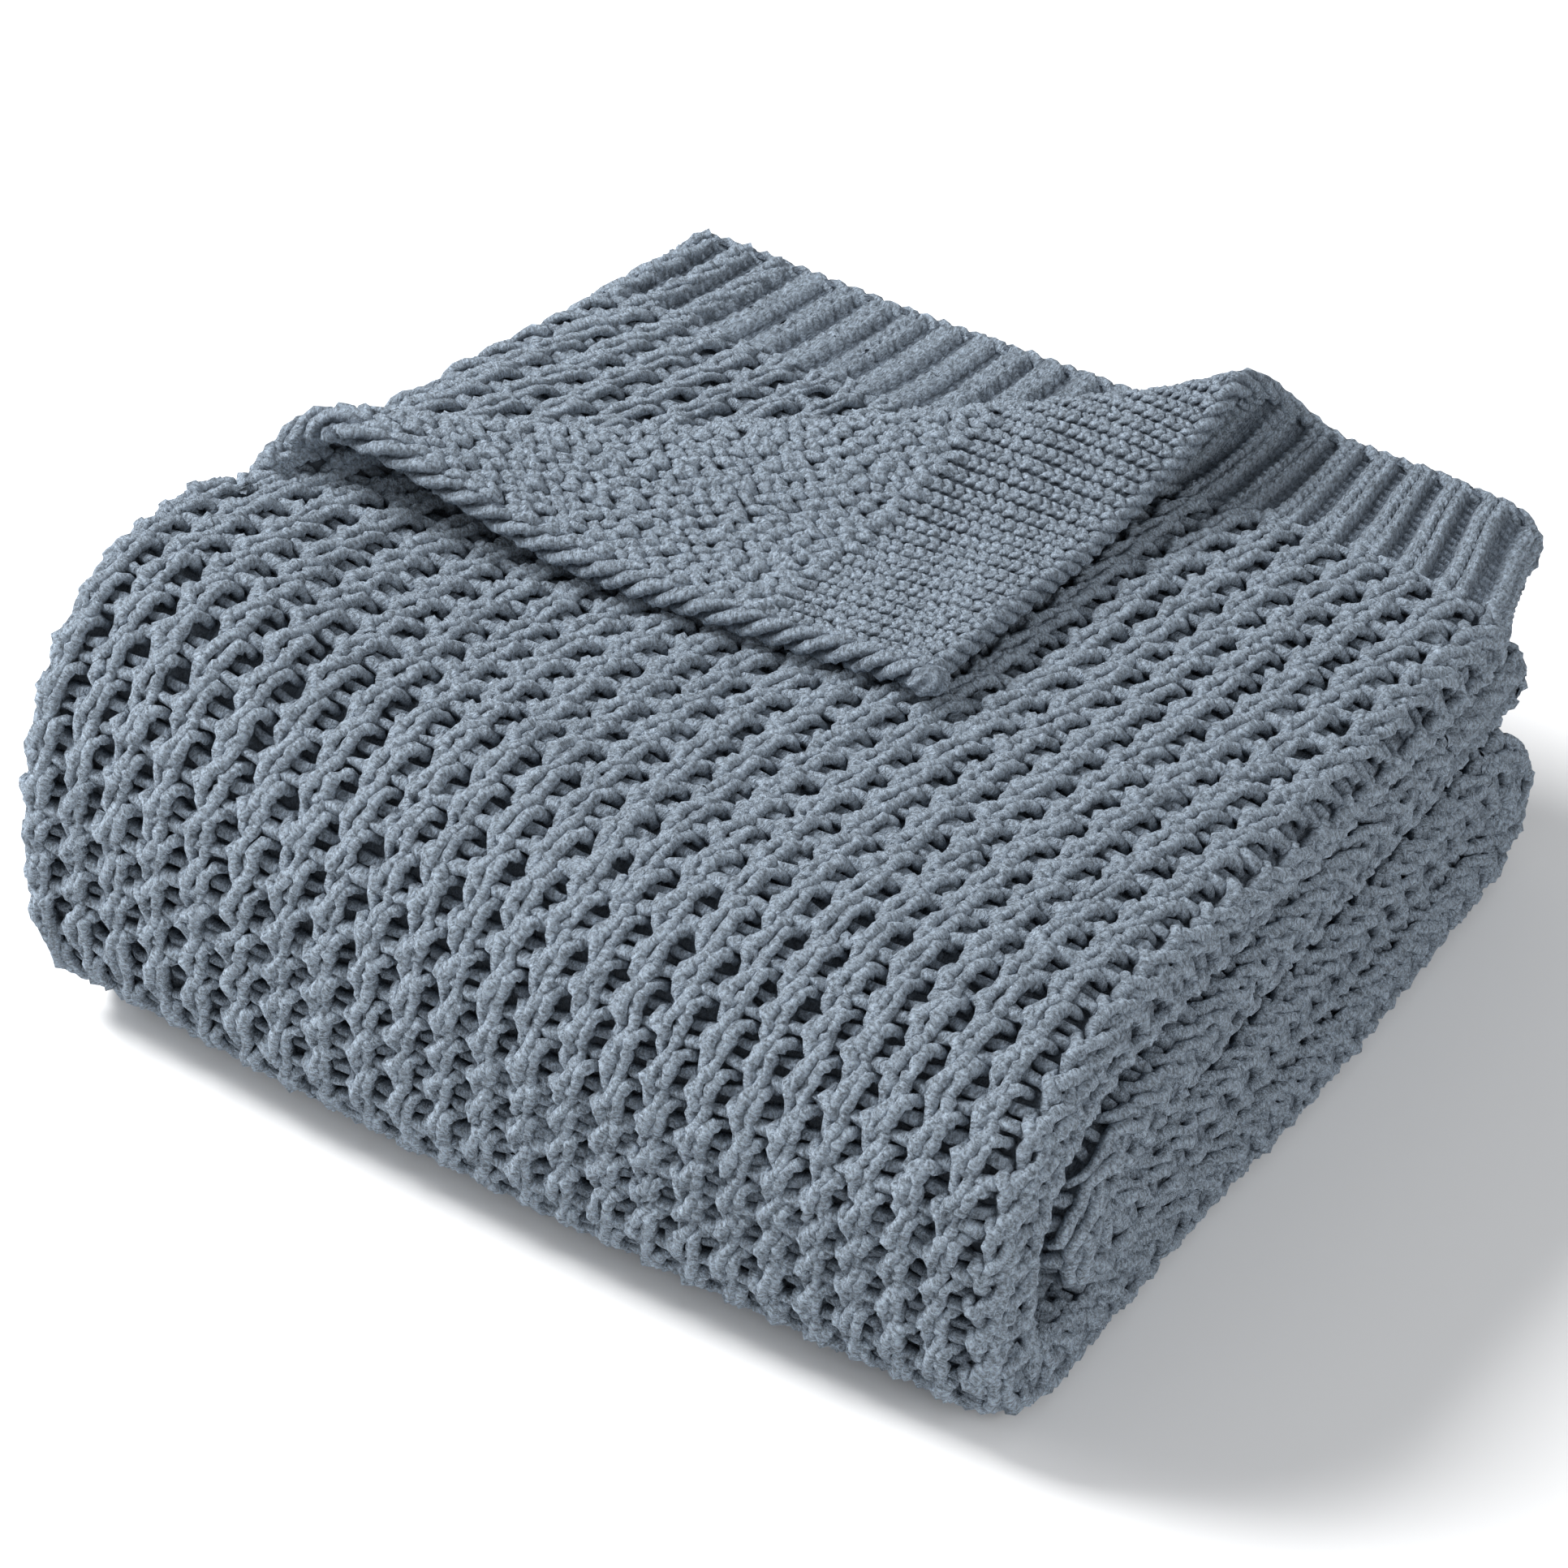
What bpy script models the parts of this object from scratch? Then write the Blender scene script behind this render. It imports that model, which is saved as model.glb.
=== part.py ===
"""Chunky waffle knit throw, folded in thirds across and in quarters along, with one corner turned over.

The throw is one piece of cloth and one solid. Across its width it is folded like a letter, which
gives a strip of three layers. That strip is then folded in half twice, which gives four runs, one
on the other. The back left corner of the top layer is turned over onto the top.

Units are metres, +Z is up, +X runs to the right along the front and +Y to the back. The origin is
in the middle under the bundle, on the surface that it rests on.
"""
import math

import bpy
import numpy as np

# The knit: one ridge and one waffle cell measure the same
CELL = 0.018
RIB_LENGTH = 0.062
RIB_DEPTH = 0.003
RIB_FADE = 0.004

# Drawing: the closest that two places in a row may lie, and the step for reading a slope
CLOSEST_STATIONS = 0.0015
SLOPE_STEP = 0.0004

# The cloth and the room that one layer takes in the stack
CLOTH = 0.0113
LAYER = 0.0128
STRIP = 3 * LAYER

# The bundle, before it sags
WIDTH = 0.418
HEM_AT_BACK = 0.399
FRONT_TOP_RADIUS = 0.056
FRONT_FOOT_RADIUS = 0.027
BEND_SLACK = 0.0008
INNER_FRONT = 0.050
BACK_BEND_AT = 0.352
INNER_END_AT = 0.370

# The top layer slides to the right towards its hem
HEM_SLIDE = 0.024
SLIDES = (
    # place along the cloth, slide to the right
    (0.0, HEM_SLIDE),
    (0.14, 0.014),
    (0.30, 0.0),
)

# Across the cloth: heading changes by the turn, in degrees, and each row is drawn in some steps
ACROSS = (
    # kind, length or radius, turn, steps
    ("run", WIDTH - LAYER, 0, 7),
    ("bend", LAYER, -180, 6),
    ("run", WIDTH - LAYER, 0, 5),
    ("bend", 0.5 * LAYER, -180, 5),
    ("run", WIDTH - 3.2 * LAYER - HEM_SLIDE, 0, 5),
)

# Along the cloth, from the hem on top at the back, round the front and back again, to the other hem
TOP_RUN = HEM_AT_BACK - 0.5 * STRIP - FRONT_TOP_RADIUS
FRONT_RUN = STRIP * 3 + 3 * BEND_SLACK - FRONT_TOP_RADIUS - FRONT_FOOT_RADIUS
SMALL_BEND = 0.5 * STRIP + 0.5 * BEND_SLACK
FOOT_RUN = BACK_BEND_AT - 0.5 * STRIP - FRONT_FOOT_RADIUS
THIRD_RUN = BACK_BEND_AT - INNER_FRONT - SMALL_BEND
ALONG = (
    # kind, length or radius, turn, steps
    ("run", TOP_RUN, 0, 20),
    ("bend", FRONT_TOP_RADIUS, 90, 5),
    ("run", FRONT_RUN, 0, 1),
    ("bend", FRONT_FOOT_RADIUS, 90, 4),
    ("run", FOOT_RUN, 0, 5),
    ("bend", SMALL_BEND, 180, 7),
    ("run", THIRD_RUN, 0, 5),
    ("bend", SMALL_BEND, -180, 7),
    ("run", INNER_END_AT - INNER_FRONT - SMALL_BEND, 0, 5),
)

# The corner turned over: the fold line leaves the side edge and the hem at these lengths
TURNED_SIDE = 0.285
TURNED_HEM = 0.332
CORNER_LANDS_AT = (0.270, 0.177)
ROLL_RADII = (
    # share of the fold line, radius of the roll
    (0.0, 0.0140),
    (0.45, 0.0125),
    (0.8, 0.0150),
    (1.0, 0.0210),
)
FLAP_SETTLES_OVER = 0.085

# How the bundle sags: heights and reach at stations across and along it
HEIGHT_SCALES = (
    # place across the width, height against the plain stack at the front and at the back
    (0.0, 1.205, 1.055),
    (0.3, 1.07, 1.03),
    (0.6, 1.015, 1.02),
    (0.85, 1.00, 1.01),
    (1.0, 0.965, 0.985),
)
SIDE_REACH = (
    # place along the cloth, added at the left, added at the right
    (0.00, 0.000, -0.011),
    (0.07, 0.000, 0.004),
    (0.20, 0.004, 0.000),
    (0.33, 0.014, -0.006),
    (0.42, 0.024, -0.010),
    (0.50, 0.012, -0.009),
    (0.70, 0.002, -0.006),
    (0.85, 0.002, -0.004),
    (0.95, 0.004, -0.003),
    (1.15, 0.002, -0.009),
    (1.30, 0.004, -0.009),
    (1.45, 0.002, -0.004),
    (1.60, 0.000, 0.000),
)
BACK_NARROWING = 0.030
LEFT_SOFTENS_OVER = 0.4 * WIDTH
RIGHT_SOFTENS_OVER = 0.3 * WIDTH
NARROWS_OVER = 0.9 * WIDTH
NARROWS_FROM = 0.25
FRONT_BOW = 0.010
BOW_CENTRE = 0.75
FOOT_PUSH = 0.016
FOOT_PUSH_OVER = 0.4 * HEM_AT_BACK
REST_FLATTENS = 0.0007

MATERIAL_COLOUR = (0.155, 0.205, 0.262, 1.0)


def smooth_step(t):
    """Ease from 0 to 1 with level ends."""
    t = np.clip(t, 0.0, 1.0)
    return t * t * (3.0 - 2.0 * t)


def smooth_table(x, xs, values):
    """Read a short table with level ends between its rows, so that no crease shows."""
    xs = np.asarray(xs, float)
    values = np.asarray(values, float)
    k = np.clip(np.searchsorted(xs, x, side="right") - 1, 0, len(xs) - 2)
    t = smooth_step((x - xs[k]) / (xs[k + 1] - xs[k]))
    return values[k] + (values[k + 1] - values[k]) * t


def stations(rows):
    """Lengths at which the runs and bends of a table are drawn."""
    out = [0.0]
    for kind, size, turn, steps in rows:
        length = size if kind == "run" else size * math.radians(abs(turn))
        start = out[-1]
        out.extend(start + length * (i + 1) / steps for i in range(steps))
    return np.array(out)


def walk(rows, start, heading, lengths):
    """Follow a table of runs and bends: the places and headings at some lengths from its start."""
    lengths = np.asarray(lengths, float)
    place = np.zeros(lengths.shape + (2,))
    angle = np.zeros(lengths.shape)
    at = np.array(start, float)
    gone = 0.0
    for index, (kind, size, turn, _) in enumerate(rows):
        length = size if kind == "run" else size * math.radians(abs(turn))
        last = index == len(rows) - 1
        here = (lengths >= gone) & ((lengths < gone + length) | last)
        if index == 0:
            here |= lengths < gone
        s = lengths - gone
        sign = math.copysign(1.0, turn)
        if kind == "run":
            theta = np.full(lengths.shape, heading)
            step = s[..., None] * np.array((math.cos(heading), math.sin(heading)))
            end = at + length * np.array((math.cos(heading), math.sin(heading)))
            after = heading
        else:
            side = np.array((-math.sin(heading), math.cos(heading))) * sign * size
            theta = heading + sign * s / size
            step = side + sign * size * np.stack((np.sin(theta), -np.cos(theta)), -1)
            after = heading + math.radians(turn)
            end = at + side + sign * size * np.array((math.sin(after), -math.cos(after)))
        place[here] = (at + step)[here]
        angle[here] = theta[here]
        at = end
        heading = after
        gone += length
    return place, angle


def turned_corner(x, y):
    """Where the turned corner goes: shifts in plan and up, for places on the top layer near it."""
    line = math.hypot(TURNED_HEM, TURNED_SIDE)
    run = np.array((TURNED_HEM, TURNED_SIDE)) / line
    out = np.array((-TURNED_SIDE, TURNED_HEM)) / line
    foot = np.array((0.0, HEM_AT_BACK - TURNED_SIDE))
    plan = np.stack((x, y), -1)
    rel = plan - foot
    distance = rel @ out
    share = (rel @ run) / line
    corner = np.array((HEM_SLIDE, TURNED_SIDE))
    reach = corner @ out
    shares, radii = zip(*ROLL_RADII)
    radius = smooth_table(np.clip(share, 0.0, 1.0), shares, radii)
    half_turn = math.pi * radius
    mean_turn = math.pi * smooth_table(np.array([(corner @ run) / line]), shares, radii)[0]
    goal = np.array(CORNER_LANDS_AT) - foot - (corner @ run) * run
    stretch = -(goal @ out) / (reach - mean_turn)
    slip = (goal @ run) / (reach - mean_turn)
    angle = np.clip(distance / radius, 0.0, math.pi)
    beyond = np.maximum(distance - half_turn, 0.0)
    back = np.where(distance > 0.0, radius * np.sin(angle) - stretch * beyond, distance)
    settled = smooth_step(beyond / FLAP_SETTLES_OVER)
    high = radius * (1.0 - np.cos(angle))
    rise = np.where(beyond > 0.0, high + (LAYER - high) * settled, high)
    moved = foot + (share * line + slip * beyond)[..., None] * run + back[..., None] * out
    return moved - plan, np.where(distance > 0.0, rise, 0.0), distance > 0.0


def middle(across, along):
    """The middle of the cloth in space, for lengths across it from the side edge and along it."""
    slide_at, slides = zip(*SLIDES)
    slid = across + smooth_table(along, slide_at, slides)
    section, _ = walk(ACROSS, (0.0, LAYER), 0.0, slid)
    top_level = 3.5 * STRIP + 3 * BEND_SLACK
    path, angle = walk(ALONG, (HEM_AT_BACK, top_level), math.pi, along)
    x = section[..., 0]
    off = section[..., 1]
    y = path[..., 0] + off * np.sin(angle)
    z = path[..., 1] - off * np.cos(angle)
    places, left, right = zip(*SIDE_REACH)
    toward_left = smooth_step(1.0 - x / LEFT_SOFTENS_OVER)
    toward_right = smooth_step(1.0 + (x - WIDTH) / RIGHT_SOFTENS_OVER)
    shift, rise, turned = turned_corner(x, y)
    turned &= (slid < WIDTH - LAYER) & (along < TOP_RUN)
    x = x - toward_left * smooth_table(along, places, left) * ~turned
    x = x + toward_right * smooth_table(along, places, right)
    x = np.where(turned, x + shift[..., 0], x)
    y = np.where(turned, y + shift[..., 1], y)
    z = np.where(turned, z + rise, z)
    return sag(np.stack((x, y, z), -1))


def sag(points):
    """Settle the stack: higher at the left, narrower at the back, bowed and spread at the front."""
    x, y, z = points[..., 0], points[..., 1], points[..., 2]
    share = x / WIDTH
    from_left = 1.0 - smooth_step(x / NARROWS_OVER)
    x = x + BACK_NARROWING * from_left * smooth_step((y / HEM_AT_BACK - NARROWS_FROM) / 0.9)
    places, front, back = zip(*HEIGHT_SCALES)
    share = np.clip(share, 0.0, 1.0)
    toward_back = smooth_step(y / HEM_AT_BACK)
    scale = smooth_table(share, places, front) * (1.0 - toward_back)
    scale = scale + smooth_table(share, places, back) * toward_back
    z = z * scale
    bow = FRONT_BOW * (1.0 - ((share - BOW_CENTRE) / BOW_CENTRE) ** 2)
    y = y - bow * (1.0 - toward_back)
    low = 1.0 - smooth_step(z / (4.0 * STRIP))
    y = y - FOOT_PUSH * low * (1.0 - smooth_step(y / FOOT_PUSH_OVER))
    return np.stack((x, y, z), -1)


def face_normal(across, along):
    """The direction in which the cloth's face side looks."""
    by_across = middle(across + SLOPE_STEP, along) - middle(across - SLOPE_STEP, along)
    by_along = middle(across, along + SLOPE_STEP) - middle(across, along - SLOPE_STEP)
    normal = np.cross(by_along, by_across)
    return normal / np.linalg.norm(normal, axis=-1, keepdims=True)


def row_stations(along, plain, side_step, cloth_width):
    """The places across the cloth that one row of the solid has: fine in the ribs and the corner."""
    out = set(np.round(plain, 6))
    last_layer = cloth_width - ACROSS[-1][1]
    half_rib = 0.5 * CELL
    if along <= RIB_LENGTH + side_step:
        out |= {round(k * half_rib, 6) for k in range(1, int((WIDTH - LAYER) / half_rib))}
        count = int(ACROSS[-1][1] / half_rib)
        out |= {round(last_layer + k * half_rib, 6) for k in range(1, count)}
    elif along <= TURNED_SIDE + 2 * side_step:
        count = int((TURNED_HEM + 2 * side_step) / side_step)
        out |= {round(k * side_step, 6) for k in range(1, count)}
    out = np.array(sorted(out))
    keep = np.concatenate(([True], np.diff(out) > CLOSEST_STATIONS))
    keep[-1] = True
    return out[keep]


def rib_groove(across, along, cloth_width):
    """How far the face is let in between the ribs of the hem."""
    last_layer = cloth_width - ACROSS[-1][1]
    local = np.where(across >= last_layer, across - last_layer, across)
    flat = (across < WIDTH - LAYER) | (across >= last_layer)
    wave = 0.5 - 0.5 * np.cos(2.0 * math.pi * (local / CELL + 0.5))
    fade = 1.0 - smooth_step((along - RIB_LENGTH + RIB_FADE) / RIB_FADE)
    return RIB_DEPTH * (1.0 - wave) * flat * fade


def zip_rows(first, second):
    """Join two rows of (place, number) with quads where they match and triangles elsewhere."""
    faces = []
    i = 0
    k = 0
    while i < len(first) - 1 or k < len(second) - 1:
        next_i = first[i + 1][0] if i < len(first) - 1 else math.inf
        next_k = second[k + 1][0] if k < len(second) - 1 else math.inf
        if abs(next_i - next_k) < 1e-7:
            faces.append((first[i][1], second[k][1], second[k + 1][1], first[i + 1][1]))
            i += 1
            k += 1
        elif next_i < next_k:
            faces.append((first[i][1], second[k][1], first[i + 1][1]))
            i += 1
        else:
            faces.append((first[i][1], second[k][1], second[k + 1][1]))
            k += 1
    return faces


def throw_shell():
    """Points and faces of the closed cloth: face side, back side and the four edges between."""
    plain = stations(ACROSS)
    rows_at = stations(ALONG)
    side_step = rows_at[1]
    cloth_width = plain[-1]
    rows = []
    points = []
    count = 0
    for along in rows_at:
        across = row_stations(along, plain, side_step, cloth_width)
        here = np.full(across.shape, along)
        centre = middle(across, here)
        normal = face_normal(across, here)
        groove = rib_groove(across, here, cloth_width)[:, None]
        points.append(centre + normal * (0.5 * CLOTH - groove))
        points.append(centre - normal * 0.5 * CLOTH)
        size = len(across)
        face_ids = [(u, count + n) for n, u in enumerate(across)]
        back_ids = [(u, count + size + n) for n, u in enumerate(across)]
        rows.append((face_ids, back_ids))
        count += 2 * size
    faces = []
    for (face_a, back_a), (face_b, back_b) in zip(rows, rows[1:]):
        faces += zip_rows(face_a, face_b)
        faces += [tuple(reversed(f)) for f in zip_rows(back_a, back_b)]
        faces.append((face_b[0][1], face_a[0][1], back_a[0][1], back_b[0][1]))
        faces.append((face_a[-1][1], face_b[-1][1], back_b[-1][1], back_a[-1][1]))
    face_0, back_0 = rows[0]
    for n in range(len(face_0) - 1):
        faces.append((face_0[n][1], face_0[n + 1][1], back_0[n + 1][1], back_0[n][1]))
    face_n, back_n = rows[-1]
    for n in range(len(face_n) - 1):
        faces.append((face_n[n + 1][1], face_n[n][1], back_n[n][1], back_n[n + 1][1]))
    return np.concatenate(points), faces


def settle_on_origin(points):
    """Put the origin in the middle under the bundle and flatten what touches the surface."""
    points = points.copy()
    low = points.min(axis=0)
    high = points.max(axis=0)
    points[:, 0] -= 0.5 * (low[0] + high[0])
    points[:, 1] -= 0.5 * (low[1] + high[1])
    points[:, 2] -= low[2]
    points[points[:, 2] < REST_FLATTENS, 2] = 0.0
    return points


def knit_material():
    """Slate blue velvety yarn."""
    material = bpy.data.materials.new("slate_blue_chenille")
    material.use_nodes = True
    shader = material.node_tree.nodes["Principled BSDF"]
    shader.inputs["Base Color"].default_value = MATERIAL_COLOUR
    shader.inputs["Roughness"].default_value = 0.95
    shader.inputs["Metallic"].default_value = 0.0
    shader.inputs["Sheen Weight"].default_value = 0.35
    return material


def clear_scene():
    """Remove what the scene holds."""
    for item in list(bpy.data.objects):
        bpy.data.objects.remove(item, do_unlink=True)


def make_throw():
    """Build the folded throw as one named object in its own collection."""
    points, faces = throw_shell()
    points = settle_on_origin(points)
    mesh = bpy.data.meshes.new("throw")
    mesh.from_pydata([tuple(p) for p in points], [], faces)
    mesh.validate()
    mesh.shade_smooth()
    mesh.set_sharp_from_angle(angle=math.radians(50))
    mesh.materials.append(knit_material())
    throw = bpy.data.objects.new("throw", mesh)
    group = bpy.data.collections.new("folded_waffle_throw")
    bpy.context.scene.collection.children.link(group)
    group.objects.link(throw)
    return throw


clear_scene()
make_throw()
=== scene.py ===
import math

import bpy
import numpy as np
from mathutils import Matrix, Vector


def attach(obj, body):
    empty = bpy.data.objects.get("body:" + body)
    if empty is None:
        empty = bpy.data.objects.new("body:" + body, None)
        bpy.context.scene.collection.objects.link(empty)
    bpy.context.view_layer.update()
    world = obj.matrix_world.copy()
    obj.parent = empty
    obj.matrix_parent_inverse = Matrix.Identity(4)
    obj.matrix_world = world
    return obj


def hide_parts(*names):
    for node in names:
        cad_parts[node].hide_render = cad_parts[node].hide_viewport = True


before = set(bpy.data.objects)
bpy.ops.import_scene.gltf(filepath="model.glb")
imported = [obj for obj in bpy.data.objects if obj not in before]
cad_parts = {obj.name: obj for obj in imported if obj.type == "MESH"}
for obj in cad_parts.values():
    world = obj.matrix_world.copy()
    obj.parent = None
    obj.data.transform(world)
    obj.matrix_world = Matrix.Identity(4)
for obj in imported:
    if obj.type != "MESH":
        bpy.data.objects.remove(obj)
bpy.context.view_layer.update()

# The cloth and its folds in metres, with the names of the solid's source. SIDE_REACH and the
# narrowing differ from it a little, because here they follow the photograph more closely
CELL = 0.018
RIB_LENGTH = 0.062
CLOTH = 0.0113
LAYER = 0.0128
STRIP = 3 * LAYER
WIDTH = 0.418
HEM_AT_BACK = 0.399
FRONT_TOP_RADIUS = 0.056
FRONT_FOOT_RADIUS = 0.027
BEND_SLACK = 0.0008
INNER_FRONT = 0.050
BACK_BEND_AT = 0.352
INNER_END_AT = 0.370
HEM_SLIDE = 0.024
SLIDES = (
    # place along the cloth, slide to the right
    (0.0, HEM_SLIDE),
    (0.14, 0.014),
    (0.30, 0.0),
)
ACROSS = (
    # kind, length or radius, turn
    ("run", WIDTH - LAYER, 0),
    ("bend", LAYER, -180),
    ("run", WIDTH - LAYER, 0),
    ("bend", 0.5 * LAYER, -180),
    ("run", WIDTH - 3.2 * LAYER - HEM_SLIDE, 0),
)
TOP_RUN = HEM_AT_BACK - 0.5 * STRIP - FRONT_TOP_RADIUS
FRONT_RUN = STRIP * 3 + 3 * BEND_SLACK - FRONT_TOP_RADIUS - FRONT_FOOT_RADIUS
SMALL_BEND = 0.5 * STRIP + 0.5 * BEND_SLACK
FOOT_RUN = BACK_BEND_AT - 0.5 * STRIP - FRONT_FOOT_RADIUS
THIRD_RUN = BACK_BEND_AT - INNER_FRONT - SMALL_BEND
ALONG = (
    # kind, length or radius, turn
    ("run", TOP_RUN, 0),
    ("bend", FRONT_TOP_RADIUS, 90),
    ("run", FRONT_RUN, 0),
    ("bend", FRONT_FOOT_RADIUS, 90),
    ("run", FOOT_RUN, 0),
    ("bend", SMALL_BEND, 180),
    ("run", THIRD_RUN, 0),
    ("bend", SMALL_BEND, -180),
    ("run", INNER_END_AT - INNER_FRONT - SMALL_BEND, 0),
)
TURNED_SIDE = 0.285
TURNED_HEM = 0.332
CORNER_LANDS_AT = (0.270, 0.177)
ROLL_RADII = (
    # share of the fold line, radius of the roll
    (0.0, 0.0140),
    (0.45, 0.0125),
    (0.8, 0.0150),
    (1.0, 0.0210),
)
FLAP_SETTLES_OVER = 0.085
HEIGHT_SCALES = (
    # place across the width, height against the plain stack at the front and at the back
    (0.0, 1.205, 1.055),
    (0.3, 1.07, 1.03),
    (0.6, 1.015, 1.02),
    (0.85, 1.00, 1.01),
    (1.0, 0.965, 0.985),
)
SIDE_REACH = (
    # place along the cloth, added at the left, added at the right
    (0.00, 0.000, -0.011),
    (0.07, 0.000, 0.004),
    (0.20, 0.004, 0.000),
    (0.33, 0.012, -0.006),
    (0.42, 0.015, -0.008),
    (0.50, 0.002, -0.002),
    (0.70, 0.002, 0.006),
    (0.85, 0.002, 0.005),
    (0.95, 0.004, 0.004),
    (1.15, 0.002, 0.002),
    (1.30, 0.004, -0.001),
    (1.45, 0.002, 0.001),
    (1.60, 0.000, 0.000),
)
BACK_NARROWING = 0.030
LEFT_SOFTENS_OVER = 0.4 * WIDTH
RIGHT_SOFTENS_OVER = 0.3 * WIDTH
NARROWS_OVER = 0.9 * WIDTH
NARROWS_FROM = 0.45
NARROWS_WITHIN = 0.70
FRONT_BOW = 0.010
BOW_CENTRE = 0.75
FOOT_PUSH = 0.016
FOOT_PUSH_OVER = 0.4 * HEM_AT_BACK


def row_length(kind, size, turn):
    """The length of one row of a table of runs and bends."""
    return size if kind == "run" else size * math.radians(abs(turn))


# Lengths of the cloth, and where its layers begin across it
OUTER_END = WIDTH - LAYER
RIGHT_BIGHT_END = OUTER_END + math.pi * LAYER
LEFT_BIGHT_START = RIGHT_BIGHT_END + WIDTH - LAYER
LEFT_BIGHT_END = LEFT_BIGHT_START + 0.5 * math.pi * LAYER
CLOTH_WIDTH = LEFT_BIGHT_END + ACROSS[4][1]
CLOTH_LENGTH = sum(row_length(*row) for row in ALONG)

# Where the areas of stitches meet along the cloth, and how far they pass its edges and each other
TOP_SPLIT = 0.31
BOTTOM_AT = 0.49
BACK_BIGHT_START = 0.775
BACK_BIGHT_END = 0.862
SEAM = 0.0018
PAST_EDGE = 0.0015
HEM_END = RIB_LENGTH + 0.004
WAFFLE_START = RIB_LENGTH - 0.002
SECOND_HEM = CLOTH_LENGTH - RIB_LENGTH
RIB_BLEND = 0.008

# The length of a waffle cell along the cloth, which is stretched on top and closed up at the front
ROW_PITCHES = (
    # place along the cloth, length of a cell there
    (0.00, 0.0172),
    (0.24, 0.0170),
    (0.33, 0.0142),
    (0.48, 0.0138),
    (0.60, 0.0150),
    (1.60, 0.0150),
)

# Grid steps of the knit, from what faces the camera to what hardly shows
FINE = 0.00112
HEM_STEP = 0.0025
BED_STEP = 0.0039
ROW_STEP = 0.002

# Steps on runs and on bends with which the cloth is measured
MEASURE_ACROSS = (0.02, 0.006)
MEASURE_ALONG = (0.016, 0.009)

# The thin ground cloth behind the stitches
GROUND_LEVEL = -0.0034
GROUND_THICKNESS = 0.0010
GROUND_STEP = 0.016
GROUND_BEND_STEP = 0.005

# Seeds of the knit's unevenness. A table of yarns also takes a few numbers after its own seed
SEED_DRIFT_U, SEED_DRIFT_V = 1, 2
SEED_BED = 3
SEED_ROPE_SIZE = 7
SEED_RIB_U, SEED_RIB_FACE, SEED_RIB_V = 21, 22, 24
SEED_BACK_U, SEED_BACK_V, SEED_BACK_BED, SEED_BACK_WAVE = 31, 32, 33, 34
SEED_EDGE_WIND, SEED_EDGE_SIZE = 41, 42
SEED_LUMPS, SEED_FINE_LUMPS = 51, 52
SEED_FINE_DRIFT_U, SEED_FINE_DRIFT_V = 53, 54
SEED_ARCH, SEED_KNOB, SEED_BAR, SEED_FLOOR = 61, 71, 91, 111
SEED_CORNER_KNOT = 71
SEED_FLUFF, SEED_FINE_FLUFF = 81, 82
SEED_ROPE_WIND, SEED_ROPE_REACH = 83, 84
SEED_RIB_LEG, SEED_WAFFLE_LEG = 101, 121


def smooth_step(t):
    """Ease from 0 to 1 with level ends."""
    t = np.clip(t, 0.0, 1.0)
    return t * t * (3.0 - 2.0 * t)


def smooth_table(x, xs, values):
    """Read a short table with level ends between its rows, so that no crease shows."""
    xs = np.asarray(xs, float)
    values = np.asarray(values, float)
    k = np.clip(np.searchsorted(xs, x, side="right") - 1, 0, len(xs) - 2)
    t = smooth_step((x - xs[k]) / (xs[k + 1] - xs[k]))
    return values[k] + (values[k + 1] - values[k]) * t


def walk(rows, start, heading, lengths):
    """Follow a table of runs and bends: the places and headings at some lengths from its start."""
    lengths = np.asarray(lengths, float)
    place = np.zeros(lengths.shape + (2,))
    angle = np.zeros(lengths.shape)
    at = np.array(start, float)
    gone = 0.0
    for index, (kind, size, turn) in enumerate(rows):
        length = row_length(kind, size, turn)
        last = index == len(rows) - 1
        here = (lengths >= gone) & ((lengths < gone + length) | last)
        if index == 0:
            here |= lengths < gone
        s = lengths[here] - gone
        sign = math.copysign(1.0, turn)
        if kind == "run":
            ahead = np.array((math.cos(heading), math.sin(heading)))
            place[here] = at + s[..., None] * ahead
            angle[here] = heading
            at = at + length * ahead
            after = heading
        else:
            side = np.array((-math.sin(heading), math.cos(heading))) * sign * size
            theta = heading + sign * s / size
            place[here] = at + side + sign * size * np.stack((np.sin(theta), -np.cos(theta)), -1)
            angle[here] = theta
            after = heading + math.radians(turn)
            at = at + side + sign * size * np.array((math.sin(after), -math.cos(after)))
        heading = after
        gone += length
    return place, angle


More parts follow.
